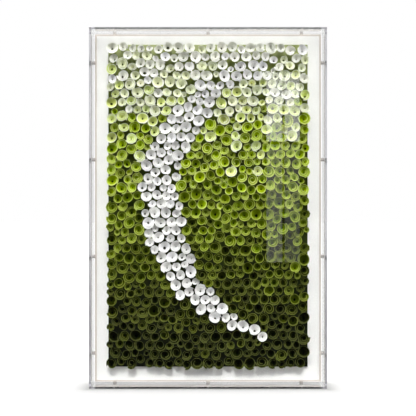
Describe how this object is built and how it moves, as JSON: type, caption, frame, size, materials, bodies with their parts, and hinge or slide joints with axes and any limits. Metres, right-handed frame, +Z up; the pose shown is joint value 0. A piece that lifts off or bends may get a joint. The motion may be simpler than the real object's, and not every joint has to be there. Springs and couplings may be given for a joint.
{
  "type": "paper shadow box art",
  "caption": "Wall-hung clear acrylic shadow box with a white floating tray that carries a dense field of rolled paper cones, shading from pale to dark green.",
  "frame": {"origin": "middle of the underside, half way between the front pane's face and the back", "axes": "+X to the right of the person who looks at it, +Y from the clear front to the wall, +Z up"},
  "size_m": [0.61, 0.076, 0.927],
  "materials": {
    "acrylic": "clear polished acrylic sheet",
    "white_board": "smooth white paint on fibreboard",
    "rail_wood": "white painted softwood",
    "panel_board": "matt dark green board",
    "steel": "plain steel",
    "spacer_plastic": "dark grey moulded sleeve",
    "cleat_metal": "mill finish extrusion",
    "white_paper": "matt white coloured paper",
    "mist_paper": "matt mist coloured paper",
    "celery_paper": "matt celery coloured paper",
    "apple_paper": "matt apple coloured paper",
    "lime_paper": "matt lime coloured paper",
    "grass_paper": "matt grass coloured paper",
    "moss_paper": "matt moss coloured paper",
    "olive_paper": "matt olive coloured paper",
    "pine_paper": "matt pine coloured paper"
  },
  "bodies": {
    "root": {"apple_rolls": "apple_paper", "art_panel": "panel_board", "backing_board": "white_board", "bottom_rail": "rail_wood", "bottom_wall": "acrylic", "case_screws": "steel", "celery_rolls": "celery_paper", "cleat_rail": "rail_wood", "cleat_screws": "steel", "front_pane": "acrylic", "grass_rolls": "grass_paper", "hanging_cleat": "cleat_metal", "left_rail": "rail_wood", "left_wall": "acrylic", "lime_rolls": "lime_paper", "middle_rail": "rail_wood", "mist_rolls": "mist_paper", "moss_rolls": "moss_paper", "olive_rolls": "olive_paper", "pine_rolls": "pine_paper", "right_rail": "rail_wood", "right_wall": "acrylic", "screw_spacers": "spacer_plastic", "top_rail": "rail_wood", "top_wall": "acrylic", "white_rolls": "white_paper"}
  },
  "joints": []
}
